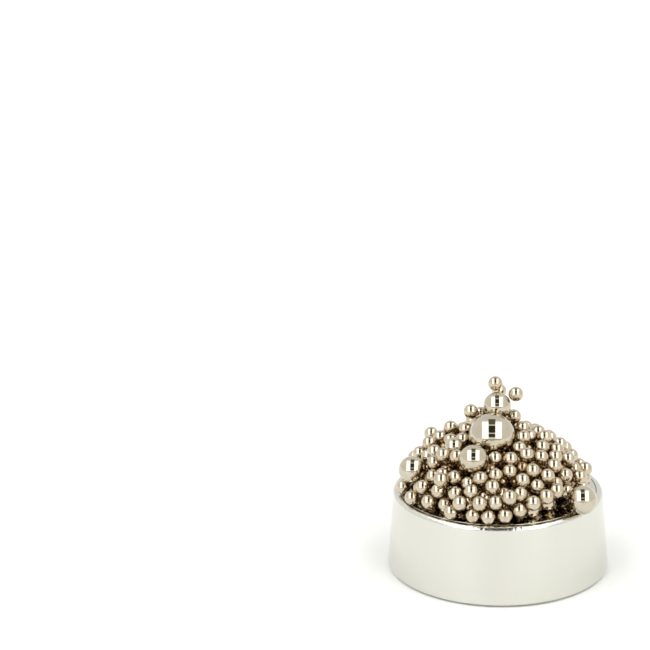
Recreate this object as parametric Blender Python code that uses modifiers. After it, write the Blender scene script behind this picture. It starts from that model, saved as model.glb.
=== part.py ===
"""Magnetic desk sculpture: a round chromed base that hides a magnet, and a pile of plated steel balls on it.

The origin is at the centre of the base's underside, +Z is up and the front of the pile faces -Y.
Places and sizes are in millimetres and become metres where a shape is made.
"""

import math

import bmesh
import bpy
import numpy as np
from mathutils import Matrix, Vector

MM = 0.001
GAP = 0.3                 # clearance between pieces that rest on or in each other
TOUCH = 0.05              # clearance between neighbouring balls

# Base
BASE_RADIUS = 30.0        # at the foot
WALL_TOP_RADIUS = 28.4    # where the tapered wall meets the shoulder
BASE_HEIGHT = 21.5
SHOULDER = 1.2            # radius of the rounded shoulder
FOOT_ROUND = 0.5
WALL = 2.2
SHOULDER_WALL = 0.6       # extra thickness of the wall where the ledge starts
RIM_STEP = 1.2            # width of the step that the bottom cover comes up to
SEGMENTS = 40
TOP_PLATE_RADIUS = 26.3
TOP_PLATE_THICKNESS = 1.1
LEDGE_RADIUS = 22.5       # opening under the top plate, where the magnet comes up
LEDGE_THICKNESS = 1.5
MAGNET_RADIUS = 18.5
MAGNET_THICKNESS = 10.0
FOOT_PAD_RADIUS = 27.0
FOOT_PAD_THICKNESS = 0.9
SHELL_FOOT = 0.4          # the pad lifts the shell's rim this far off the desk
COVER_RADIUS = 27.3
COVER_THICKNESS = 2.2
SCREW_CIRCLE = 22.2
SCREW_BEARINGS = (90, 210, 330)
SCREW_RADIUS = 1.2
SCREW_LENGTH = 8.0
SCREW_HEAD_RADIUS = 2.3
SCREW_HEAD_HEIGHT = 1.0
POST_RADIUS = 2.6
MAGNET_EDGE = 0.6
HOLD_RING_RADIUS = 12.0   # ring on the bottom cover that presses the magnet up
HOLD_RING_WALL = 1.6
CROSS_LENGTH = 2.6        # cross recess in each screw head
CROSS_WIDTH = 0.5
CROSS_DEPTH = 0.4
THREAD_END = 1.2          # length of a screw's pointed end
CUT_PAST = 1.0            # how far a cutter runs past the face that it opens

# Balls
SMALL = 2.0
FIVE = 2.6
MIDDLE = 3.75
LARGE = 6.2

# The joined inner balls of the pile stand on a dome of this half-width and height on the top plate
CORE_RADIUS = 21.4
CORE_HEIGHT = 14.2
FILL_DEPTH = 2.0          # how far outside the dome the joined balls' centres lie
FILL_LIMIT = 150
FILL_ROOM = 0.72          # share of a small ball's radius that must be free for another one to be put in
CANDIDATES = 2400
EDGE_RADIUS = 26.3        # no small ball's centre lies further out
DOME_CLEARANCE = 0.25
DOME_SIDES = 20
DOME_STEPS = 6
NECK_RADIUS = 0.9         # short bars that hold the joined balls on the dome
NECK_SINK = 1.4
NECK_FROM = 1.0           # a ball whose centre is nearer to the dome than this has no neck
SEAT_CLEARANCE = 0.9      # room around the large ball, where it sinks into the dome

# How the balls settle
HAND_ROUNDS = 150
FILL_ROUNDS = 12
LAST_ROUNDS = 600
PUSH_SHARE = 0.6
PULL = 0.008
TOWER_FOOT = 40.0         # balls above this height aren't drawn in to the dome

# Balls that stand out from the pile: name, radius, place of the centre, chosen by hand
BIG_PLACES = (
    ("large_ball", LARGE, (-1, -5.5, 38)),
    ("middle_ball_top", MIDDLE, (0, 2.5, 44)),
    ("middle_ball_front", MIDDLE, (-6, -17, 35.5)),
    ("middle_ball_left", MIDDLE, (-22.5, -6.5, 28.5)),
    ("middle_ball_rim", MIDDLE, (22, -18, 25.3)),
    ("middle_ball_back_left", FIVE, (-11.5, -7.5, 35.5)),
)

# Small balls that are picked off one by one, chosen by hand: the tower, then left, front and right
SINGLE_PLACES = (
    (0.5, 7.5, 46.5), (-0.5, 5, 49.5), (5, 3.5, 47), (-4.5, 4.5, 41), (-7, 2, 42.5), (4.5, 3.5, 40.5),
    (7, 1, 38.5), (5.5, -5, 38), (-18, 6, 35), (-13, 5, 37), (-18.5, 1, 34), (-21, 1, 31.5),
    (-17, -6, 34), (-16.5, -9.5, 33), (-14, -10.5, 35), (-11, -13, 35.5), (-22.5, 3, 29.5),
    (-20, -14, 27), (-14.5, -19, 30.5), (11.5, -12, 35), (-11, -21, 28), (-4, -20.5, 32),
    (-0.5, -20, 32.5), (3, -25.5, 28.5), (-18, -18, 24.5), (-23, -13.5, 23.5), (-11.5, -23.5, 23.5),
    (-5.5, -25.5, 25.5), (-2, -26, 23.5), (1.5, -26, 25.5), (-25.5, -6, 23.5), (11, 0, 37.5),
    (12, -6.5, 36), (17, 0, 34.5), (8, -12.5, 36), (15.5, -8.5, 34), (19, -6.5, 32.5),
    (15, -13, 33), (17.5, -13, 30.5), (23.5, -3, 28.5), (22, -9, 28.5), (11, -22, 28.5),
    (4, -19, 32.5), (9.5, -23.5, 27.5), (15, -20, 28.5),
)

# Outer balls of the joined pile, chosen by hand: the front, then some perched ones at the back
JOINED_PLACES = (
    (8.5, -2, 37.5), (-16.5, 3, 35), (-8.5, 2, 38), (-15, -19, 27), (-6.5, -23.5, 27.5),
    (-7, -21, 30), (-1.5, -22.5, 29.5), (0.5, -22, 28), (6, -22.5, 29.5), (-13, -21.5, 24.5),
    (-9.5, -24, 25), (-6, -25.5, 23.5), (-3.5, -23, 26.5), (-1, -25, 26), (12, -2, 37.5),
    (16, -5, 34.5), (-10.5, -18.5, 31), (3.5, -15.5, 35), (9.5, -18, 32.5), (12.5, -18, 31),
    (13, -19.5, 25), (11, -20, 30), (6, -25, 25.5), (5.5, -20, 31.5), (15, -16, 29.5), (-14.5, -15.5, 31),
    (3, 14.5, 37), (-7, 15, 36), (11, 20, 29.5), (-2, 21, 33), (-14, 17, 30.5), (20, 15, 24.5),
    (-22, 10, 27.5), (3, 25, 27), (-11, 22, 28.5), (15, 20.5, 24.5),
)

# Hollows between the balls, where no further ones are put in: centre and radius
HOLLOWS = (
    ((3, -12, 36), 4.0), ((4.5, -20.5, 29.5), 3.0), ((15.5, -19.5, 23.5), 4.5), ((-17, -19.5, 23.5), 3.0),
    ((-15, -2, 35), 3.0), ((-9.5, -9, 37), 2.5), ((9, -8, 36.5), 3.0), ((1, 17, 34), 3.5),
    ((-18, 14, 28), 3.0), ((17, 16, 27), 3.5),
)


# ---------------------------------------------------------------- the pile's rule

def dome_normal(point):
    """Outward direction and rough distance of a point from the dome of joined balls."""
    x, y, z = point[0], point[1], point[2] - BASE_HEIGHT
    slope = np.array((x / CORE_RADIUS ** 2, y / CORE_RADIUS ** 2, z / CORE_HEIGHT ** 2))
    level = math.sqrt((x * x + y * y) / CORE_RADIUS ** 2 + z * z / CORE_HEIGHT ** 2)
    steepness = math.sqrt(float(slope @ slope))
    return slope / steepness, (level - 1.0) * level / steepness


def relax(places, radii, mobility, rounds, pull):
    """Pushes overlapping balls apart and draws them in to the dome, with the heavy ones moving least."""
    reach = radii[:, None] + radii[None, :] + TOUCH
    share = mobility[:, None] / (mobility[:, None] + mobility[None, :])
    for step in range(rounds):
        offset = places[:, None, :] - places[None, :, :]
        distance = np.sqrt((offset ** 2).sum(axis=2))
        np.fill_diagonal(distance, 1000.0)
        overlap = np.clip(reach - distance, 0.0, None)
        push = offset * (overlap * share / distance)[:, :, None]
        places += PUSH_SHARE * push.sum(axis=1)
        for index in range(1, len(places)):
            normal, away = dome_normal(places[index])
            lowest = radii[index] + DOME_CLEARANCE if mobility[index] < 1.0 else FILL_DEPTH
            if away < lowest:
                places[index] += normal * (lowest - away)
            elif radii[index] == SMALL and places[index][2] < TOWER_FOOT:
                places[index] -= normal * min(pull * (1.0 - step / rounds), away - lowest)
            places[index][2] = max(places[index][2], BASE_HEIGHT + radii[index] + TOUCH)
            width = math.hypot(places[index][0], places[index][1])
            if radii[index] == SMALL and width > EDGE_RADIUS:
                places[index][:2] *= EDGE_RADIUS / width
    return places


def dome_candidates(count):
    """Evenly spread points just outside the dome, along a golden-angle spiral."""
    turn = math.pi * (3.0 - math.sqrt(5.0))
    points = []
    for index in range(count):
        height = (index + 0.5) / count
        width = math.sqrt(1.0 - height * height)
        angle = index * turn
        points.append((
            (CORE_RADIUS + FILL_DEPTH) * width * math.cos(angle),
            (CORE_RADIUS + FILL_DEPTH) * width * math.sin(angle),
            BASE_HEIGHT + (CORE_HEIGHT + FILL_DEPTH) * height,
        ))
    points = np.array(points)
    return points[points[:, 2] > BASE_HEIGHT + SMALL + TOUCH]


def pile():
    """All the balls: names (None for a joined one), radii and settled places."""
    names = [name for name, radius, place in BIG_PLACES]
    names += [f"small_ball_{index + 1:02d}" for index in range(len(SINGLE_PLACES))]
    names += [None] * len(JOINED_PLACES)
    placed = SINGLE_PLACES + JOINED_PLACES
    radii = np.array([radius for name, radius, place in BIG_PLACES] + [SMALL] * len(placed))
    places = np.array([place for name, radius, place in BIG_PLACES] + list(placed), dtype=float)
    mobility = np.where(radii > SMALL, 0.1, 0.4)
    places = relax(places, radii, mobility, HAND_ROUNDS, PULL)
    candidates = dome_candidates(CANDIDATES)
    for hollow, reach in HOLLOWS:
        candidates = candidates[np.linalg.norm(candidates - np.array(hollow), axis=1) > reach]
    for _ in range(FILL_LIMIT):
        offset = candidates[:, None, :] - places[None, :, :]
        room = (np.sqrt((offset ** 2).sum(axis=2)) - radii[None, :]).min(axis=1)
        best = int(room.argmax())
        if room[best] < FILL_ROOM * SMALL:
            break
        places = np.vstack((places, candidates[best]))
        radii = np.append(radii, SMALL)
        mobility = np.append(mobility, 1.0)
        names.append(None)
        places = relax(places, radii, mobility, FILL_ROUNDS, 0.0)
    places = relax(places, radii, mobility, LAST_ROUNDS, 0.0)
    return names, radii, places


# ---------------------------------------------------------------- shapes

def material(name, colour, roughness, metallic):
    made = bpy.data.materials.new(name)
    made.use_nodes = True
    shader = made.node_tree.nodes["Principled BSDF"]
    shader.inputs["Base Color"].default_value = (*colour, 1.0)
    shader.inputs["Roughness"].default_value = roughness
    shader.inputs["Metallic"].default_value = metallic
    return made


def add_object(name, mesh, collection, look=None, place=(0, 0, 0)):
    made = bpy.data.objects.new(name, mesh)
    made.location = Vector(place) * MM
    if look is not None:
        mesh.materials.append(look)
        mesh.shade_smooth()
    collection.objects.link(made)
    return made


def add_cutter(name, mesh, place=(0, 0, 0)):
    made = add_object(name, mesh, CUTTERS, place=place)
    made.hide_render = True
    made.display_type = "WIRE"
    return made


def mesh_from(name, build):
    """A mesh that the function `build` fills, in millimetres, scaled to metres."""
    mesh = bpy.data.meshes.new(name)
    shape = bmesh.new()
    build(shape)
    bmesh.ops.scale(shape, vec=(MM, MM, MM), verts=shape.verts)
    shape.to_mesh(mesh)
    shape.free()
    return mesh


def turned(name, outline, look, closed=False, steps=SEGMENTS):
    """A body turned about Z from an outline of (radius, height) that runs down its outer side."""
    mesh = bpy.data.meshes.new(name)
    points = [(radius * MM, 0.0, height * MM) for radius, height in outline]
    edges = [(index, index + 1) for index in range(len(points) - 1)]
    if closed:
        edges.append((len(points) - 1, 0))
    mesh.from_pydata(points, edges, [])
    made = add_object(name, mesh, PARTS, look)
    screw = made.modifiers.new("Turn", "SCREW")
    screw.steps = steps
    screw.render_steps = steps
    screw.use_merge_vertices = True
    screw.merge_threshold = 0.00001
    return made


def combine(target, cutter, operation):
    step = target.modifiers.new(cutter.name, "BOOLEAN")
    step.operation = operation
    step.solver = "EXACT"
    step.object = cutter
    return step


def arc(centre, radius, start, stop, steps):
    """Points of an arc in the outline's plane, with the angles in degrees."""
    angles = [math.radians(start + (stop - start) * step / steps) for step in range(steps + 1)]
    return [(centre[0] + radius * math.cos(angle), centre[1] + radius * math.sin(angle)) for angle in angles]


def cylinder(shape, radius, low, high, place=(0, 0), sides=24):
    matrix = Matrix.Translation((place[0], place[1], (low + high) / 2))
    bmesh.ops.create_cone(
        shape, cap_ends=True, segments=sides, radius1=radius, radius2=radius, depth=high - low, matrix=matrix
    )


def sphere(shape, radius, place, subdivisions):
    bmesh.ops.create_icosphere(
        shape, subdivisions=subdivisions, radius=radius, matrix=Matrix.Translation(place)
    )


# ---------------------------------------------------------------- the base

POCKET_RADIUS = TOP_PLATE_RADIUS + GAP
PLATE_LOW = BASE_HEIGHT - TOP_PLATE_THICKNESS
LEDGE_TOP = PLATE_LOW - GAP
LEDGE_LOW = LEDGE_TOP - LEDGE_THICKNESS
COVER_LOW = FOOT_PAD_THICKNESS + GAP
COVER_TOP = COVER_LOW + COVER_THICKNESS
POST_LOW = COVER_TOP + GAP
MAGNET_TOP = LEDGE_TOP
MAGNET_LOW = MAGNET_TOP - MAGNET_THICKNESS
SCREW_HEAD_TOP = COVER_LOW + SCREW_HEAD_HEIGHT
SCREW_PLACES = [
    (SCREW_CIRCLE * math.cos(math.radians(bearing)), SCREW_CIRCLE * math.sin(math.radians(bearing)))
    for bearing in SCREW_BEARINGS
]


def base_shell(chrome):
    """Tapered housing, open below, with a ledge for the top plate and three screw posts."""
    inner_foot = COVER_RADIUS + GAP
    inner_top = WALL_TOP_RADIUS - WALL - SHOULDER_WALL
    outline = [(POCKET_RADIUS, BASE_HEIGHT)]
    outline += arc((WALL_TOP_RADIUS - SHOULDER, BASE_HEIGHT - SHOULDER), SHOULDER, 90, 0, 4)
    outline += arc((BASE_RADIUS - FOOT_ROUND, SHELL_FOOT + FOOT_ROUND), FOOT_ROUND, 0, -90, 2)
    outline += [
        (inner_foot, SHELL_FOOT), (inner_foot, POST_LOW), (inner_foot - RIM_STEP, POST_LOW),
        (inner_top, LEDGE_LOW), (LEDGE_RADIUS, LEDGE_LOW), (LEDGE_RADIUS, LEDGE_TOP),
        (POCKET_RADIUS, LEDGE_TOP),
    ]
    shell = turned("base_shell", outline, chrome, closed=True)

    def posts(shape):
        for place in SCREW_PLACES:
            cylinder(shape, POST_RADIUS, POST_LOW, LEDGE_LOW + 0.5 * LEDGE_THICKNESS, place, 12)

    def pilot_holes(shape):
        depth = SCREW_HEAD_TOP + SCREW_LENGTH + CUT_PAST
        for place in SCREW_PLACES:
            cylinder(shape, SCREW_RADIUS + GAP, POST_LOW - CUT_PAST, depth, place, 10)

    combine(shell, add_cutter("post_shapes", mesh_from("post_shapes", posts)), "UNION")
    combine(shell, add_cutter("pilot_hole_shapes", mesh_from("pilot_hole_shapes", pilot_holes)), "DIFFERENCE")


def top_plate(mirror_steel):
    radius = TOP_PLATE_RADIUS
    outline = [(0, BASE_HEIGHT), (radius, BASE_HEIGHT), (radius, PLATE_LOW), (0, PLATE_LOW)]
    turned("top_plate", outline, mirror_steel)


def magnet(ferrite):
    flat = MAGNET_RADIUS - MAGNET_EDGE
    outline = [
        (0, MAGNET_TOP), (flat, MAGNET_TOP), (MAGNET_RADIUS, MAGNET_TOP - MAGNET_EDGE),
        (MAGNET_RADIUS, MAGNET_LOW + MAGNET_EDGE), (flat, MAGNET_LOW), (0, MAGNET_LOW),
    ]
    turned("magnet", outline, ferrite)


def bottom_cover(plastic):
    """Disc that closes the shell from below, with a ring that presses the magnet up."""
    ring_inside = HOLD_RING_RADIUS - HOLD_RING_WALL
    ring_top = MAGNET_LOW - GAP
    outline = [
        (0, COVER_TOP), (ring_inside, COVER_TOP), (ring_inside, ring_top), (HOLD_RING_RADIUS, ring_top),
        (HOLD_RING_RADIUS, COVER_TOP), (COVER_RADIUS, COVER_TOP), (COVER_RADIUS, COVER_LOW), (0, COVER_LOW),
    ]
    cover = turned("bottom_cover", outline, plastic)

    def head_recesses(shape):
        for place in SCREW_PLACES:
            cylinder(shape, SCREW_HEAD_RADIUS + GAP, COVER_LOW - CUT_PAST, SCREW_HEAD_TOP + GAP, place, 16)

    def screw_holes(shape):
        for place in SCREW_PLACES:
            cylinder(shape, SCREW_RADIUS + GAP, COVER_LOW - 0.5 * CUT_PAST, COVER_TOP + CUT_PAST, place, 10)

    for name, holes in (("head_recess_shapes", head_recesses), ("screw_hole_shapes", screw_holes)):
        combine(cover, add_cutter(name, mesh_from(name, holes)), "DIFFERENCE")


def cover_screws(steel):
    """Self-tapping screws, heads down, each with a cross recess."""
    for number, place in enumerate(SCREW_PLACES, start=1):
        outline = [
            (0, SCREW_LENGTH), (0.5 * SCREW_RADIUS, SCREW_LENGTH), (SCREW_RADIUS, SCREW_LENGTH - THREAD_END),
            (SCREW_RADIUS, 0), (SCREW_HEAD_RADIUS, 0), (0.9 * SCREW_HEAD_RADIUS, -SCREW_HEAD_HEIGHT),
            (0, -SCREW_HEAD_HEIGHT),
        ]
        screw = turned(f"cover_screw_{number}", outline, steel, steps=12)
        screw.location = Vector((place[0], place[1], SCREW_HEAD_TOP)) * MM

        def cross(shape):
            for length, width in ((CROSS_LENGTH, CROSS_WIDTH), (CROSS_WIDTH, CROSS_LENGTH)):
                size = (length, width, 2 * CROSS_DEPTH)
                matrix = Matrix.Translation((0, 0, -SCREW_HEAD_HEIGHT)) @ Matrix.Diagonal((*size, 1.0))
                bmesh.ops.create_cube(shape, size=1.0, matrix=matrix)

        recess = add_cutter(f"cross_recess_{number}", mesh_from("cross_recess", cross))
        recess.location = screw.location
        combine(screw, recess, "DIFFERENCE").use_self = True


def foot_pad(felt):
    outline = [(0, FOOT_PAD_THICKNESS), (FOOT_PAD_RADIUS, FOOT_PAD_THICKNESS), (FOOT_PAD_RADIUS, 0), (0, 0)]
    turned("foot_pad", outline, felt)


# ---------------------------------------------------------------- the balls

def ball(name, radius, place, nickel):
    subdivisions = 3 if radius == LARGE else 2
    mesh = mesh_from(name, lambda shape: sphere(shape, radius, (0, 0, 0), subdivisions))
    add_object(name, mesh, PARTS, nickel, place)


def joined_balls(radii, places, large_place, nickel):
    """The pile's inner balls in one piece: a dome with balls set in it, some of them on short necks."""
    angles = [math.radians(90 * step / DOME_STEPS) for step in range(DOME_STEPS + 1)]
    plate = BASE_HEIGHT + GAP
    outline = [
        (CORE_RADIUS * math.sin(angle), plate + (CORE_HEIGHT - GAP) * math.cos(angle)) for angle in angles
    ]
    outline.append((0, plate))
    heap = turned("joined_pile", outline, nickel, steps=DOME_SIDES)

    def balls(shape):
        for radius, place in zip(radii, places):
            matrix = Matrix.Translation(place)
            bmesh.ops.create_uvsphere(shape, u_segments=8, v_segments=4, radius=radius, matrix=matrix)

    def necks(shape):
        for place in places:
            normal, away = dome_normal(place)
            if away > NECK_FROM:
                middle = Vector(place) - Vector(normal) * 0.5 * (away + NECK_SINK)
                turn = Vector(normal).to_track_quat("Z", "Y").to_matrix().to_4x4()
                bmesh.ops.create_cone(
                    shape, cap_ends=True, segments=4, radius1=NECK_RADIUS, radius2=NECK_RADIUS,
                    depth=away + NECK_SINK, matrix=Matrix.Translation(middle) @ turn,
                )

    def seat(shape):
        sphere(shape, LARGE + SEAT_CLEARANCE, large_place, 2)

    combine(heap, add_cutter("large_ball_seat", mesh_from("large_ball_seat", seat)), "DIFFERENCE")
    combine(heap, add_cutter("ball_shapes", mesh_from("ball_shapes", balls)), "UNION")
    combine(heap, add_cutter("neck_shapes", mesh_from("neck_shapes", necks)), "UNION").use_self = True


for leftover in list(bpy.data.objects):
    bpy.data.objects.remove(leftover, do_unlink=True)
PARTS = bpy.data.collections.new("magnetic_desk_sculpture")
CUTTERS = bpy.data.collections.new("cutters")
bpy.context.scene.collection.children.link(PARTS)
bpy.context.scene.collection.children.link(CUTTERS)

NICKEL = material("nickel_plate", (0.78, 0.70, 0.58), 0.08, 1.0)
CHROME = material("chrome_plate", (0.86, 0.86, 0.82), 0.08, 1.0)
MIRROR = material("mirror_steel", (0.80, 0.78, 0.74), 0.05, 1.0)
FERRITE = material("ferrite", (0.05, 0.05, 0.055), 0.6, 0.0)
PLASTIC = material("black_plastic", (0.03, 0.03, 0.03), 0.5, 0.0)
STEEL = material("zinc_steel", (0.55, 0.56, 0.58), 0.35, 1.0)
FELT = material("felt", (0.04, 0.04, 0.045), 0.95, 0.0)

base_shell(CHROME)
top_plate(MIRROR)
magnet(FERRITE)
bottom_cover(PLASTIC)
cover_screws(STEEL)
foot_pad(FELT)

NAMES, RADII, PLACES = pile()
JOINED = [index for index, name in enumerate(NAMES) if name is None]
joined_balls([RADII[index] for index in JOINED], [PLACES[index] for index in JOINED], PLACES[0], NICKEL)
for NAME, RADIUS, PLACE in zip(NAMES, RADII, PLACES):
    if NAME is not None:
        ball(NAME, RADIUS, PLACE, NICKEL)
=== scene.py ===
"""Looks of the magnetic desk sculpture: polished balls, chromed base, floor, light and camera.

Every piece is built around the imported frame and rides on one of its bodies. Sizes are in millimetres
and become metres where a mesh is made.
"""
import math

import bmesh
import bpy
import numpy as np
from mathutils import Matrix, Vector


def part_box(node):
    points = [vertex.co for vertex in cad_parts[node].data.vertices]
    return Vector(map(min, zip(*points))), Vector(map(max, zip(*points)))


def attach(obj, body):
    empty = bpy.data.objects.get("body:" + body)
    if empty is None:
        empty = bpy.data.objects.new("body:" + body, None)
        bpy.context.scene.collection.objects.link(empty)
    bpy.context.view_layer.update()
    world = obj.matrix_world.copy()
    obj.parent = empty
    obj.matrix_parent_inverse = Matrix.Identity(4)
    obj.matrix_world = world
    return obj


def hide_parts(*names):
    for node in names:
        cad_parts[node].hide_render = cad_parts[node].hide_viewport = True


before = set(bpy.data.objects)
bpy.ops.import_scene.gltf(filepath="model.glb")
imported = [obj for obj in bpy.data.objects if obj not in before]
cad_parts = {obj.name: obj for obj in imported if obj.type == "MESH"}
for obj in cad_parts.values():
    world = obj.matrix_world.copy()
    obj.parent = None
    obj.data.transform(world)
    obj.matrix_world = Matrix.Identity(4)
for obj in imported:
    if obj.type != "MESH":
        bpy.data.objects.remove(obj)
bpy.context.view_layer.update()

MM = 0.001
TOUCH = 0.05
BASE_BODY = "base"
PILE_BODY = "joined_pile"


def box_mm(node):
    low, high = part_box(node)
    return [value / MM for value in low], [value / MM for value in high]


# ---------------------------------------------------------------- places of the joined balls

SMALL = 2.0
FIVE = 2.6
MIDDLE = 3.75
LARGE = 6.2
BASE_HEIGHT = 21.5
# The joined inner balls of the pile stand on a dome of this half-width and height on the top plate
CORE_RADIUS = 21.4
CORE_HEIGHT = 14.2
FILL_DEPTH = 2.0          # how far outside the dome the joined balls' centres lie
FILL_LIMIT = 150
FILL_ROOM = 0.72          # share of a small ball's radius that must be free for another one to be put in
CANDIDATES = 2400
EDGE_RADIUS = 26.3        # no small ball's centre lies further out
LOWEST = BASE_HEIGHT + SMALL + TOUCH    # height of a small ball's centre on the top plate
DOME_CLEARANCE = 0.25

# How the balls settle
HAND_ROUNDS = 150
FILL_ROUNDS = 12
LAST_ROUNDS = 600
PUSH_SHARE = 0.6
PULL = 0.008
FAR = 1000.0              # stands for a ball's distance from itself, so it never pushes itself
HEAVY = 0.1               # how readily a big ball, a listed one and a fill ball give way
HAND_PLACED = 0.4
LOOSE = 1.0
TOWER_FOOT = 40.0         # balls above this height aren't drawn in to the dome

# Balls that stand out from the pile: name, radius, place of the centre
BIG_PLACES = (
    ("large_ball", LARGE, (-1, -5.5, 38)),
    ("middle_ball_top", MIDDLE, (0, 2.5, 44)),
    ("middle_ball_front", MIDDLE, (-6, -17, 35.5)),
    ("middle_ball_left", MIDDLE, (-22.5, -6.5, 28.5)),
    ("middle_ball_rim", MIDDLE, (22, -18, 25.3)),
    ("middle_ball_back_left", FIVE, (-11.5, -7.5, 35.5)),
)

# Small balls that are picked off one by one: the tower, then left, front and right
SINGLE_PLACES = (
    (0.5, 7.5, 46.5), (-0.5, 5, 49.5), (5, 3.5, 47), (-4.5, 4.5, 41), (-7, 2, 42.5), (4.5, 3.5, 40.5),
    (7, 1, 38.5), (5.5, -5, 38), (-18, 6, 35), (-13, 5, 37), (-18.5, 1, 34), (-21, 1, 31.5),
    (-17, -6, 34), (-16.5, -9.5, 33), (-14, -10.5, 35), (-11, -13, 35.5), (-22.5, 3, 29.5),
    (-20, -14, 27), (-14.5, -19, 30.5), (11.5, -12, 35), (-11, -21, 28), (-4, -20.5, 32),
    (-0.5, -20, 32.5), (3, -25.5, 28.5), (-18, -18, 24.5), (-23, -13.5, 23.5), (-11.5, -23.5, 23.5),
    (-5.5, -25.5, 25.5), (-2, -26, 23.5), (1.5, -26, 25.5), (-25.5, -6, 23.5), (11, 0, 37.5),
    (12, -6.5, 36), (17, 0, 34.5), (8, -12.5, 36), (15.5, -8.5, 34), (19, -6.5, 32.5),
    (15, -13, 33), (17.5, -13, 30.5), (23.5, -3, 28.5), (22, -9, 28.5), (11, -22, 28.5),
    (4, -19, 32.5), (9.5, -23.5, 27.5), (15, -20, 28.5),
)

# Outer balls of the joined pile: the front, then some perched ones at the back
JOINED_PLACES = (
    (8.5, -2, 37.5), (-16.5, 3, 35), (-8.5, 2, 38), (-15, -19, 27), (-6.5, -23.5, 27.5),
    (-7, -21, 30), (-1.5, -22.5, 29.5), (0.5, -22, 28), (6, -22.5, 29.5), (-13, -21.5, 24.5),
    (-9.5, -24, 25), (-6, -25.5, 23.5), (-3.5, -23, 26.5), (-1, -25, 26), (12, -2, 37.5),
    (16, -5, 34.5), (-10.5, -18.5, 31), (3.5, -15.5, 35), (9.5, -18, 32.5), (12.5, -18, 31),
    (13, -19.5, 25), (11, -20, 30), (6, -25, 25.5), (5.5, -20, 31.5), (15, -16, 29.5),
    (-14.5, -15.5, 31),
    (3, 14.5, 37), (-7, 15, 36), (11, 20, 29.5), (-2, 21, 33), (-14, 17, 30.5), (20, 15, 24.5),
    (-22, 10, 27.5), (3, 25, 27), (-11, 22, 28.5), (15, 20.5, 24.5),
)

# Hollows between the balls, where no further ones are put in: centre and radius
HOLLOWS = (
    ((3, -12, 36), 4.0), ((4.5, -20.5, 29.5), 3.0), ((15.5, -19.5, 23.5), 4.5), ((-17, -19.5, 23.5), 3.0),
    ((-15, -2, 35), 3.0), ((-9.5, -9, 37), 2.5), ((9, -8, 36.5), 3.0), ((1, 17, 34), 3.5),
    ((-18, 14, 28), 3.0), ((17, 16, 27), 3.5),
)


def dome_normal(point):
    """Outward direction and rough distance of a point from the dome of joined balls."""
    x, y, z = point[0], point[1], point[2] - BASE_HEIGHT
    slope = np.array((x / CORE_RADIUS ** 2, y / CORE_RADIUS ** 2, z / CORE_HEIGHT ** 2))
    level = math.sqrt((x * x + y * y) / CORE_RADIUS ** 2 + z * z / CORE_HEIGHT ** 2)
    steepness = math.sqrt(float(slope @ slope))
    return slope / steepness, (level - 1.0) * level / steepness


def relax(places, radii, mobility, rounds, pull):
    """Pushes overlapping balls apart and draws them in to the dome, with the heavy ones moving least."""
    reach = radii[:, None] + radii[None, :] + TOUCH
    share = mobility[:, None] / (mobility[:, None] + mobility[None, :])
    for step in range(rounds):
        offset = places[:, None, :] - places[None, :, :]
        distance = np.sqrt((offset ** 2).sum(axis=2))
        np.fill_diagonal(distance, FAR)
        overlap = np.clip(reach - distance, 0.0, None)
        push = offset * (overlap * share / distance)[:, :, None]
        places += PUSH_SHARE * push.sum(axis=1)
        for index in range(1, len(places)):
            normal, away = dome_normal(places[index])
            lowest = radii[index] + DOME_CLEARANCE if mobility[index] < LOOSE else FILL_DEPTH
            if away < lowest:
                places[index] += normal * (lowest - away)
            elif radii[index] == SMALL and places[index][2] < TOWER_FOOT:
                places[index] -= normal * min(pull * (1.0 - step / rounds), away - lowest)
            places[index][2] = max(places[index][2], BASE_HEIGHT + radii[index] + TOUCH)
            width = math.hypot(places[index][0], places[index][1])
            if radii[index] == SMALL and width > EDGE_RADIUS:
                places[index][:2] *= EDGE_RADIUS / width
    return places


def dome_spiral(count, outside):
    """Evenly spread points on a golden-angle spiral, at a distance outside the dome's surface."""
    turn = math.pi * (3.0 - math.sqrt(5.0))
    points = []
    for index in range(count):
        height = (index + 0.5) / count
        width = math.sqrt(1.0 - height * height)
        points.append((
            (CORE_RADIUS + outside) * width * math.cos(index * turn),
            (CORE_RADIUS + outside) * width * math.sin(index * turn),
            BASE_HEIGHT + (CORE_HEIGHT + outside) * height,
        ))
    return np.array(points)


def pile():
    """All the balls: names (None for a joined one), radii and settled places."""
    names = [name for name, radius, place in BIG_PLACES]
    names += [f"small_ball_{index + 1:02d}" for index in range(len(SINGLE_PLACES))]
    names += [None] * len(JOINED_PLACES)
    placed = SINGLE_PLACES + JOINED_PLACES
    radii = np.array([radius for name, radius, place in BIG_PLACES] + [SMALL] * len(placed))
    places = np.array([place for name, radius, place in BIG_PLACES] + list(placed), dtype=float)
    mobility = np.where(radii > SMALL, HEAVY, HAND_PLACED)
    places = relax(places, radii, mobility, HAND_ROUNDS, PULL)
    candidates = dome_spiral(CANDIDATES, FILL_DEPTH)
    candidates = candidates[candidates[:, 2] > LOWEST]
    for hollow, reach in HOLLOWS:
        candidates = candidates[np.linalg.norm(candidates - np.array(hollow), axis=1) > reach]
    for _ in range(FILL_LIMIT):
        offset = candidates[:, None, :] - places[None, :, :]
        room = (np.sqrt((offset ** 2).sum(axis=2)) - radii[None, :]).min(axis=1)
        best = int(room.argmax())
        if room[best] < FILL_ROOM * SMALL:
            break
        places = np.vstack((places, candidates[best]))
        radii = np.append(radii, SMALL)
        mobility = np.append(mobility, LOOSE)
        names.append(None)
        places = relax(places, radii, mobility, FILL_ROUNDS, 0.0)
    places = relax(places, radii, mobility, LAST_ROUNDS, 0.0)
    return names, radii, places


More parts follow.
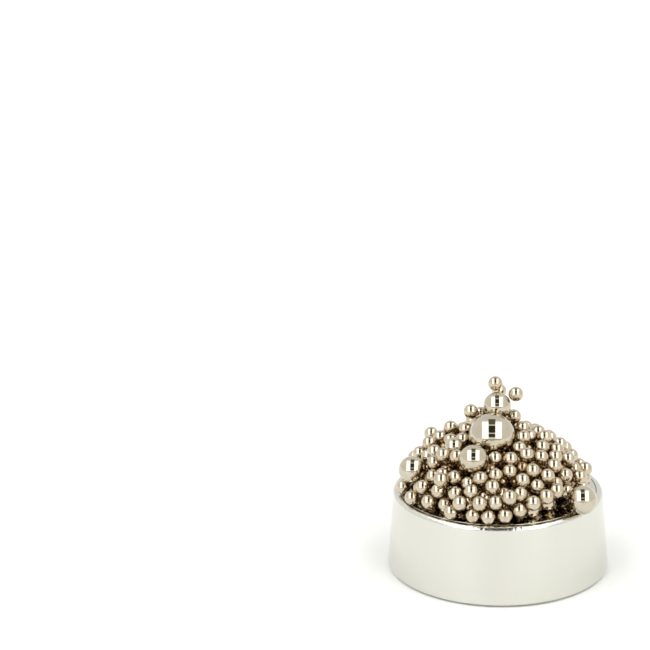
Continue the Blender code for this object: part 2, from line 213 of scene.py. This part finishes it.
# Hidden courses of balls under the outer ones: depth under the dome's surface and how many
INNER_COURSES = ((1.3, 150), (4.6, 110), (8.0, 60))
INNER_ROUNDS = 80
INNER_PUSH_SHARE = 0.3
INNER_NEAREST = 1.6 * SMALL


def inner_balls(outer_places, outer_radii):
    """Hidden courses of balls under the outer ones, seen only through the gaps."""
    courses = np.vstack([dome_spiral(count, -depth) for depth, count in INNER_COURSES])
    courses[:, 2] = np.maximum(courses[:, 2], LOWEST)
    places = np.vstack((outer_places, courses))
    radii = np.append(outer_radii, [SMALL] * len(courses))
    free = np.arange(len(places)) >= len(outer_places)
    reach = radii[:, None] + radii[None, :]
    for _ in range(INNER_ROUNDS):
        offset = places[:, None, :] - places[None, :, :]
        distance = np.sqrt((offset ** 2).sum(axis=2))
        np.fill_diagonal(distance, FAR)
        overlap = np.clip(reach - distance, 0.0, None)
        push = INNER_PUSH_SHARE * (offset * (overlap / distance)[:, :, None]).sum(axis=1)
        places[free] += push[free]
        places[free, 2] = np.maximum(places[free, 2], LOWEST)
    offset = places[:, None, :] - places[None, :, :]
    room = np.sqrt((offset ** 2).sum(axis=2)) - (radii[None, :] - SMALL)
    kept = []
    for index in range(len(outer_places), len(places)):
        others = list(range(len(outer_places))) + kept
        level = math.hypot(places[index][0], places[index][1]) / CORE_RADIUS
        if room[index, others].min() > INNER_NEAREST and level < 1.0:
            kept.append(index)
    return places[kept]


# ---------------------------------------------------------------- materials

class Graph:
    """A small helper that adds nodes to a material or world and links them."""

    def __init__(self, owner):
        owner.use_nodes = True
        self.tree = owner.node_tree
        self.nodes = self.tree.nodes
        self.shader = self.nodes.get("Principled BSDF")

    def add(self, kind, inputs=None, **settings):
        node = self.nodes.new(kind)
        for name, value in settings.items():
            setattr(node, name, value)
        for name, value in (inputs or {}).items():
            self.feed(node.inputs[name], value)
        return node

    def feed(self, socket, value):
        if isinstance(value, bpy.types.NodeSocket):
            self.tree.links.new(value, socket)
        else:
            socket.default_value = value

    def math(self, operation, first, second=0.0, clamp=False):
        node = self.add("ShaderNodeMath", {0: first, 1: second}, operation=operation, use_clamp=clamp)
        return node.outputs[0]

    def mix(self, share, first, second):
        node = self.add("ShaderNodeMix", data_type="RGBA")
        self.feed(node.inputs[0], share)
        self.feed(node.inputs[6], first)
        self.feed(node.inputs[7], second)
        return node.outputs[2]

    def span(self, value, low, high, to_low=0.0, to_high=1.0):
        node = self.add("ShaderNodeMapRange", {
            "Value": value, "From Min": low, "From Max": high, "To Min": to_low, "To Max": to_high,
        })
        return node.outputs[0]

    def noise(self, vector, scale, detail=3.0, roughness=0.5):
        node = self.add("ShaderNodeTexNoise", {
            "Vector": vector, "Scale": scale, "Detail": detail, "Roughness": roughness,
        })
        return node.outputs["Fac"]

    def stretched_noise(self, vector, scales, rotation=(0.0, 0.0, 0.0), detail=3.0, roughness=0.5):
        mapping = self.add("ShaderNodeMapping", {
            "Vector": vector, "Scale": scales, "Rotation": rotation,
        })
        return self.noise(mapping.outputs[0], 1.0, detail, roughness)

    def bump(self, height, distance, strength):
        node = self.add("ShaderNodeBump", {"Height": height, "Distance": distance, "Strength": strength})
        self.feed(self.shader.inputs["Normal"], node.outputs[0])


def rgba(red, green, blue):
    return (red, green, blue, 1.0)


def nickel_material(name, low, high, hazed):
    """Warm bright nickel with a slightly different tone on each ball, faint haze and fine scratches."""
    made = bpy.data.materials.new(name)
    graph = Graph(made)
    position = graph.add("ShaderNodeTexCoord").outputs["Object"]
    island = graph.add("ShaderNodeNewGeometry").outputs["Random Per Island"]
    single = graph.add("ShaderNodeObjectInfo").outputs["Random"]
    tone = graph.math("FRACT", graph.math("ADD", island, single))
    haze = graph.noise(position, scale=420.0, detail=4.0)
    scratches = graph.stretched_noise(
        position, (9000.0, 500.0, 2500.0), rotation=(0.6, 0.3, 0.9), detail=2.0
    )
    plain = graph.mix(tone, rgba(*low), rgba(*high))
    colour = graph.mix(graph.span(haze, 0.35, 0.75), plain, rgba(*hazed))
    smooth = graph.span(haze, 0.3, 0.8, to_low=0.03, to_high=0.07)
    worn = graph.span(scratches, 0.62, 0.8, to_low=0.0, to_high=0.05)
    graph.feed(graph.shader.inputs["Base Color"], colour)
    graph.feed(graph.shader.inputs["Roughness"], graph.math("ADD", smooth, worn))
    graph.shader.inputs["Metallic"].default_value = 1.0
    graph.bump(haze, distance=0.00001, strength=0.25)
    return made


RIPPLE_FROM = 0.0197      # height in metres where the shoulder's ripples start
RIPPLE_FULL = 0.0205      # and where they are at their full height
CLOUDED = 2.2             # how much rougher the cloudy wear is than the clear plating


def chrome_material(name, colour, worn, roughness, wave, ripple):
    """Bright plating with faint upright bands, cloudy wear and, at the shoulder, a fine ripple."""
    made = bpy.data.materials.new(name)
    graph = Graph(made)
    position = graph.add("ShaderNodeTexCoord").outputs["Object"]
    bands = graph.stretched_noise(position, (90.0, 90.0, 4.0), detail=2.0)
    clouds = graph.noise(position, scale=160.0, detail=5.0, roughness=0.6)
    shade = graph.mix(graph.span(bands, 0.35, 0.65), rgba(*colour), rgba(*worn))
    cloudy = graph.span(clouds, 0.3, 0.75, to_low=roughness, to_high=CLOUDED * roughness)
    graph.feed(graph.shader.inputs["Base Color"], shade)
    graph.feed(graph.shader.inputs["Roughness"], cloudy)
    graph.shader.inputs["Metallic"].default_value = 1.0
    height = graph.add("ShaderNodeSeparateXYZ", {0: position}).outputs[2]
    ripples = graph.noise(position, scale=1300.0, detail=2.0)
    share = graph.math("MULTIPLY", graph.span(height, RIPPLE_FROM, RIPPLE_FULL), ripple / wave)
    relief = graph.math("ADD", bands, graph.math("MULTIPLY", ripples, share))
    graph.bump(relief, distance=wave, strength=0.5)
    return made


def felt_material():
    """Dark pressed felt with short fibres."""
    made = bpy.data.materials.new("pressed_felt")
    graph = Graph(made)
    position = graph.add("ShaderNodeTexCoord").outputs["Object"]
    fibres = graph.stretched_noise(
        position, (2600.0, 900.0, 900.0), rotation=(0.0, 0.0, 0.7), detail=6.0, roughness=0.7
    )
    clumps = graph.noise(position, scale=700.0, detail=5.0)
    dark, light = rgba(0.018, 0.018, 0.022), rgba(0.075, 0.075, 0.085)
    colour = graph.mix(graph.span(fibres, 0.3, 0.7), dark, light)
    graph.feed(graph.shader.inputs["Base Color"], colour)
    graph.shader.inputs["Roughness"].default_value = 0.95
    graph.shader.inputs["Sheen Weight"].default_value = 0.4
    graph.bump(graph.math("ADD", fibres, clumps), distance=0.0002, strength=0.8)
    return made


def plain_material(name, dark, light, scale, low, high, metallic=0.0, depth=0.00005):
    """A two-tone mottled surface, for the pieces inside the base."""
    made = bpy.data.materials.new(name)
    graph = Graph(made)
    position = graph.add("ShaderNodeTexCoord").outputs["Object"]
    grain = graph.noise(position, scale, detail=6.0, roughness=0.65)
    colour = graph.mix(graph.span(grain, 0.3, 0.7), rgba(*dark), rgba(*light))
    graph.feed(graph.shader.inputs["Base Color"], colour)
    graph.feed(graph.shader.inputs["Roughness"], graph.span(grain, 0.3, 0.7, low, high))
    graph.shader.inputs["Metallic"].default_value = metallic
    graph.bump(grain, distance=depth, strength=0.6)
    return made


# ---------------------------------------------------------------- shapes

WELD = 0.0001             # points nearer than this are one
SHARP_EDGE = 32           # in degrees


def finish_piece(name, mesh, material, body, nodes=(), place=(0, 0, 0)):
    """Adds a mesh as a piece that rides on a body and stands for the given CAD nodes."""
    mesh.materials.append(material)
    piece = bpy.data.objects.new(name, mesh)
    piece.location = Vector(place) * MM
    bpy.context.scene.collection.objects.link(piece)
    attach(piece, body)
    if nodes:
        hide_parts(*nodes)
    return piece


def mesh_from(name, build):
    """A smooth mesh that build fills in millimetres."""
    mesh = bpy.data.meshes.new(name)
    shape = bmesh.new()
    build(shape)
    bmesh.ops.scale(shape, vec=(MM, MM, MM), verts=shape.verts)
    shape.to_mesh(mesh)
    shape.free()
    mesh.shade_smooth()
    return mesh


def arc(centre, radius, start, stop, steps):
    """Outline points along an arc, from one bearing in degrees to another."""
    angles = [math.radians(start + (stop - start) * step / steps) for step in range(steps + 1)]
    return [(centre[0] + radius * math.cos(angle), centre[1] + radius * math.sin(angle)) for angle in angles]


def turned(name, outline, sides, closed=False):
    """A mesh turned about Z from an outline of (radius, height)."""
    def build(shape):
        points = [shape.verts.new((radius, 0.0, height)) for radius, height in outline]
        edges = [shape.edges.new(pair) for pair in zip(points, points[1:])]
        if closed:
            edges.append(shape.edges.new((points[-1], points[0])))
        bmesh.ops.spin(
            shape, geom=points + edges, cent=(0, 0, 0), axis=(0, 0, 1),
            angle=2 * math.pi, steps=sides, use_merge=True,
        )
        bmesh.ops.remove_doubles(shape, verts=shape.verts, dist=WELD)
        bmesh.ops.recalc_face_normals(shape, faces=shape.faces)
    mesh = mesh_from(name, build)
    mesh.set_sharp_from_angle(angle=math.radians(SHARP_EDGE))
    return mesh


def ball_mesh(name, places, radii, subdivisions):
    """One mesh of balls at the given places."""
    def build(shape):
        for place, radius in zip(places, radii):
            bmesh.ops.create_icosphere(
                shape, subdivisions=subdivisions, radius=radius, matrix=Matrix.Translation(place)
            )
    return mesh_from(name, build)


# ---------------------------------------------------------------- the base

FINE_SIDES = 240
POST_SIDES = 32
GAP = 0.3                 # between the shell and the pieces inside it
BEVEL = 0.12              # on the rim's inner edge and the plate's edge
WALL_TOP = 28.4           # radius of the wall where the shoulder starts
SHOULDER = 1.2
FOOT_ROUND = 0.5
LEDGE = 1.5               # thickness of the ledge that the top plate lies on
LEDGE_OUTSIDE = 25.6
LEDGE_HOLE = 22.5
WALL_SLOPE = 1.2          # how far the wall's inside leans in above the cover
POST_BEARINGS = (90, 210, 330)
POST_CIRCLE = 22.2
POST_BORE = 1.5
POST_RADIUS = 2.6
POST_FOOT = 2.2           # how far above the cover's underside the cover's disc ends
POST_SINK = 0.05          # the posts start this far below the ledge
PAD_ROUND = 0.3


def shell_outline():
    """Outline of the shell's section, from the rim's inner edge over the shoulder and round the foot."""
    low, high = box_mm("base_shell")
    plate_low, plate_high = box_mm("top_plate")
    cover_low, cover_high = box_mm("bottom_cover")
    pocket = plate_high[0] + GAP
    ledge_top = plate_low[2] - GAP
    ledge_low = ledge_top - LEDGE
    post_low = cover_low[2] + POST_FOOT + GAP
    inner_foot = cover_high[0] + GAP
    outline = [(pocket, high[2] - BEVEL)]
    outline += arc((pocket + BEVEL, high[2] - BEVEL), BEVEL, 180, 90, 3)[1:]
    outline += arc((WALL_TOP - SHOULDER, high[2] - SHOULDER), SHOULDER, 90, 0, 14)
    outline += arc((high[0] - FOOT_ROUND, low[2] + FOOT_ROUND), FOOT_ROUND, 0, -90, 8)
    outline += [
        (inner_foot, low[2]), (inner_foot, post_low), (inner_foot - WALL_SLOPE, post_low),
        (LEDGE_OUTSIDE, ledge_low), (LEDGE_HOLE, ledge_low), (LEDGE_HOLE, ledge_top), (pocket, ledge_top),
    ]
    return outline


def screw_posts():
    """The three posts inside the shell, which are part of it."""
    post_high = box_mm("top_plate")[0][2] - GAP - LEDGE - POST_SINK
    post_low = box_mm("bottom_cover")[0][2] + POST_FOOT + GAP
    outline = [
        (POST_BORE, post_high), (POST_RADIUS, post_high), (POST_RADIUS, post_low), (POST_BORE, post_low),
    ]
    for number, bearing in enumerate(POST_BEARINGS, start=1):
        mesh = turned("screw_post", outline, POST_SIDES, closed=True)
        angle = math.radians(bearing)
        place = (POST_CIRCLE * math.cos(angle), POST_CIRCLE * math.sin(angle), 0)
        finish_piece(f"screw_post_{number}", mesh, PLASTIC, BASE_BODY, place=place)


def base_pieces():
    """The shell, the top plate and the felt pad, and the looks of the pieces hidden between them."""
    mesh = turned("chromed_shell", shell_outline(), FINE_SIDES, closed=True)
    finish_piece("chromed_shell", mesh, CHROME, BASE_BODY, ("base_shell",))
    screw_posts()

    low, high = box_mm("top_plate")
    radius = high[0] + 0.5 * GAP
    outline = [(0, high[2])]
    outline += arc((radius - BEVEL, high[2] - BEVEL), BEVEL, 90, 0, 4)
    outline += [(radius, low[2]), (0, low[2])]
    mesh = turned("mirror_plate", outline, FINE_SIDES)
    finish_piece("mirror_plate", mesh, MIRROR, BASE_BODY, ("top_plate",))

    low, high = box_mm("foot_pad")
    outline = [(0, high[2])]
    outline += arc((high[0] - PAD_ROUND, high[2] - PAD_ROUND), PAD_ROUND, 90, 0, 5)
    outline += arc((high[0] - PAD_ROUND, low[2] + PAD_ROUND), PAD_ROUND, 0, -90, 5)
    outline += [(0, low[2])]
    mesh = turned("felt_pad", outline, FINE_SIDES)
    finish_piece("felt_pad", mesh, FELT, BASE_BODY, ("foot_pad",))

    inside = {"magnet": FERRITE, "bottom_cover": PLASTIC}
    inside.update({f"cover_screw_{number}": SCREW_STEEL for number in (1, 2, 3)})
    for node, material in inside.items():
        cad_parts[node].data.materials.clear()
        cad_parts[node].data.materials.append(material)


# ---------------------------------------------------------------- the balls

SMALL_DETAIL = 4          # subdivisions of the round meshes
BIG_DETAIL = 5
HIDDEN_DETAIL = 3
STILL_SMALL = 1.1 * SMALL


def single_balls():
    """One polished ball for each separate ball of the frame, at its node's place."""
    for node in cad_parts:
        if "_ball_" not in node and node != "large_ball":
            continue
        low, high = box_mm(node)
        radius = (high[2] - low[2]) / 2
        middle = [(first + second) / 2 for first, second in zip(low, high)]
        small = radius < STILL_SMALL
        mesh = ball_mesh("polished_" + node, [(0, 0, 0)], [radius], SMALL_DETAIL if small else BIG_DETAIL)
        material = NICKEL if small else PALE_NICKEL
        finish_piece("polished_" + node, mesh, material, node, (node,), middle)


def pile_balls():
    """The joined balls, and the hidden ones under them that show through the gaps, whose nickel is darkened
    as painted shade.
    """
    names, radii, places = pile()
    joined = [index for index, name in enumerate(names) if name is None]
    mesh = ball_mesh("pile_balls", places[joined], radii[joined], SMALL_DETAIL)
    finish_piece("pile_balls", mesh, NICKEL, PILE_BODY, ("joined_pile",))
    hidden = inner_balls(places, radii)
    mesh = ball_mesh("inner_balls", hidden, [SMALL] * len(hidden), HIDDEN_DETAIL)
    finish_piece("inner_balls", mesh, SHADED_NICKEL, PILE_BODY)


# ---------------------------------------------------------------- floor, light and camera

FLOOR_HALF = 4.0          # in metres


def add_floor():
    """A wide pale floor that isn't part of the object."""
    mesh = bpy.data.meshes.new("floor")
    shape = bmesh.new()
    bmesh.ops.create_grid(shape, x_segments=1, y_segments=1, size=FLOOR_HALF)
    shape.to_mesh(mesh)
    shape.free()
    made = bpy.data.materials.new("pale_floor")
    graph = Graph(made)
    position = graph.add("ShaderNodeTexCoord").outputs["Object"]
    grain = graph.noise(position, scale=300.0)
    colour = graph.mix(grain, rgba(0.93, 0.93, 0.925), rgba(0.95, 0.95, 0.945))
    graph.feed(graph.shader.inputs["Base Color"], colour)
    graph.shader.inputs["Roughness"].default_value = 0.6
    mesh.materials.append(made)
    floor = bpy.data.objects.new("floor", mesh)
    bpy.context.scene.collection.objects.link(floor)


CAMERA_DISTANCE = 450.0
CAMERA_HEIGHT_ANGLE = 21.5
CAMERA_LENS = 90.7
CAMERA_SENSOR = 36.0
AIM_HEIGHT = 20.7         # height of the point on the object's axis that the view is measured from
PAN_LEFT = 6.004          # the object stands right of the middle of the picture
TILT_UP = 5.752           # and below it
LEVEL_ROUNDS = 4          # turns about the line of sight that bring the object's axis upright

# The studio as a polished ball shows it from the front: across and up from its middle, in radii
TENT = (0.98, 0.985, 0.96)
TENT_OVERHEAD = (0.88, 0.88, 0.86)
OVERHEAD_FROM = (0.66, 0.80)
STRIP = (2.6, 2.6, 2.55)
STRIP_EDGE = 0.41         # the strips reach from the slit to here
STRIP_SPAN = (-0.10, 0.62)
SLIT_EDGE = 0.147
STRIP_BLUR = 0.018
SLIT_BLUR = 0.008
HORIZON_BLUR = 0.01
ALMOST_BEHIND = 1.0001    # a little over 1, so that no length is zero straight behind the object
SLIT_WARMTH = 0.8         # share of blue in the slit's dark stretches
# Dark stretches of the slit: lowest and highest point, brightness and share of the slit's width
SLIT_PARTS = (
    (-0.225, -0.175, 0.10, 0.6), (-0.045, 0.10, 0.055, 1.0),
    (0.145, 0.45, 0.045, 1.0), (0.50, 0.735, 0.16, 1.0),
)
HORIZON_SPAN = (-0.155, -0.12)
HORIZON_SHADE = (0.42, 0.40, 0.38)


def add_studio():
    """A pale tent of light: two upright bright strips in front and a slit with cross bars between them.

    A direction is turned into the place where a ball, seen from the front at the height angle of the
    view, mirrors it, so the strips show on every ball as upright bands of even width.
    """
    world = bpy.data.worlds.new("studio")
    bpy.context.scene.world = world
    graph = Graph(world)
    direction = graph.add("ShaderNodeTexCoord").outputs["Generated"]
    sideways = graph.add("ShaderNodeSeparateXYZ", {0: direction}).outputs[0]
    angle = math.radians(CAMERA_HEIGHT_ANGLE)

    def along(vector):
        node = graph.add("ShaderNodeVectorMath", {0: direction, 1: vector}, operation="DOT_PRODUCT")
        return node.outputs["Value"]

    forward = along((0.0, -math.cos(angle), math.sin(angle)))
    upward = along((0.0, math.sin(angle), math.cos(angle)))
    length = graph.math("SQRT", graph.math("MULTIPLY", graph.math("ADD", forward, ALMOST_BEHIND), 2.0))
    across = graph.math("DIVIDE", graph.math("ABSOLUTE", sideways), length)
    up = graph.math("DIVIDE", upward, length)

    def patch(edge, low, high, blur):
        inside = graph.span(across, edge + blur, edge - blur)
        above = graph.span(up, low - blur, low + blur)
        below = graph.span(up, high + blur, high - blur)
        return graph.math("MULTIPLY", inside, graph.math("MULTIPLY", above, below))

    colour = graph.mix(graph.span(up, *OVERHEAD_FROM), rgba(*TENT), rgba(*TENT_OVERHEAD))
    colour = graph.mix(patch(STRIP_EDGE, *STRIP_SPAN, STRIP_BLUR), colour, rgba(*STRIP))
    colour = graph.mix(patch(SLIT_EDGE, *STRIP_SPAN, SLIT_BLUR), colour, rgba(*TENT))
    colour = graph.mix(patch(STRIP_EDGE, *HORIZON_SPAN, HORIZON_BLUR), colour, rgba(*HORIZON_SHADE))
    for low, high, brightness, share in SLIT_PARTS:
        shade = rgba(brightness, brightness, SLIT_WARMTH * brightness)
        colour = graph.mix(patch(SLIT_EDGE * share, low, high, SLIT_BLUR), colour, shade)
    background = graph.nodes["Background"]
    graph.feed(background.inputs["Color"], colour)
    background.inputs["Strength"].default_value = 1.0


def add_camera():
    """The camera looks slightly past the object, and is rolled so that the object's axis is upright."""
    elevation = math.radians(CAMERA_HEIGHT_ANGLE)
    aim = Vector((0, 0, AIM_HEIGHT)) * MM
    back = Vector((0, -math.cos(elevation), math.sin(elevation)))
    data = bpy.data.cameras.new("camera")
    data.lens = CAMERA_LENS
    data.sensor_width = CAMERA_SENSOR
    data.clip_start = 0.01
    camera = bpy.data.objects.new("camera", data)
    bpy.context.scene.collection.objects.link(camera)
    camera.location = aim + back * CAMERA_DISTANCE * MM
    right = math.tan(math.radians(PAN_LEFT))
    below = -math.tan(math.radians(TILT_UP))
    seen = Vector((right, below, -1.0)).normalized()
    turn = seen.rotation_difference(Vector((0, 0, -1)))
    facing = back.to_track_quat("Z", "Y")
    rotation = (facing @ turn).to_matrix()
    for _ in range(LEVEL_ROUNDS):
        upright = rotation.inverted() @ Vector((0, 0, 1))
        lean = upright.x + upright.z * right
        rise = upright.y + upright.z * below
        roll = Matrix.Rotation(math.atan2(lean, rise), 3, -back)
        rotation = roll @ rotation
    camera.rotation_mode = "QUATERNION"
    camera.rotation_quaternion = rotation.to_quaternion()
    bpy.context.scene.camera = camera


NICKEL = nickel_material(
    "nickel_plated_steel", low=(0.585, 0.505, 0.395), high=(0.64, 0.57, 0.46), hazed=(0.55, 0.46, 0.34)
)
PALE_NICKEL = nickel_material(
    "pale_nickel_plated_steel", low=(0.57, 0.515, 0.415), high=(0.60, 0.55, 0.45), hazed=(0.54, 0.475, 0.37)
)
# Darker copy of the same nickel for the hidden inner balls: painted shade for balls that lie deep in the
# pile.
SHADED_NICKEL = nickel_material(
    "painted_shade_nickel", low=(0.38, 0.285, 0.185), high=(0.44, 0.34, 0.23), hazed=(0.33, 0.235, 0.14)
)
CHROME = chrome_material(
    "chrome_plating", (0.70, 0.69, 0.64), worn=(0.68, 0.68, 0.62),
    roughness=0.03, wave=0.00002, ripple=0.00016,
)
MIRROR = chrome_material(
    "mirror_steel", (0.66, 0.64, 0.58), worn=(0.62, 0.60, 0.54), roughness=0.015, wave=0.000004, ripple=0.0
)
FELT = felt_material()
PLASTIC = plain_material(
    "black_plastic", dark=(0.022, 0.022, 0.024), light=(0.04, 0.04, 0.042), scale=900.0, low=0.45, high=0.6
)
FERRITE = plain_material(
    "ferrite", dark=(0.035, 0.035, 0.038), light=(0.08, 0.078, 0.08), scale=1500.0, low=0.5, high=0.75
)
SCREW_STEEL = plain_material(
    "zinc_plated_steel", dark=(0.50, 0.51, 0.54), light=(0.62, 0.62, 0.60), scale=1200.0, low=0.25, high=0.4,
    metallic=1.0, depth=0.00001,
)

base_pieces()
single_balls()
pile_balls()
add_floor()
add_studio()
add_camera()
bpy.context.scene.view_settings.view_transform = "Standard"
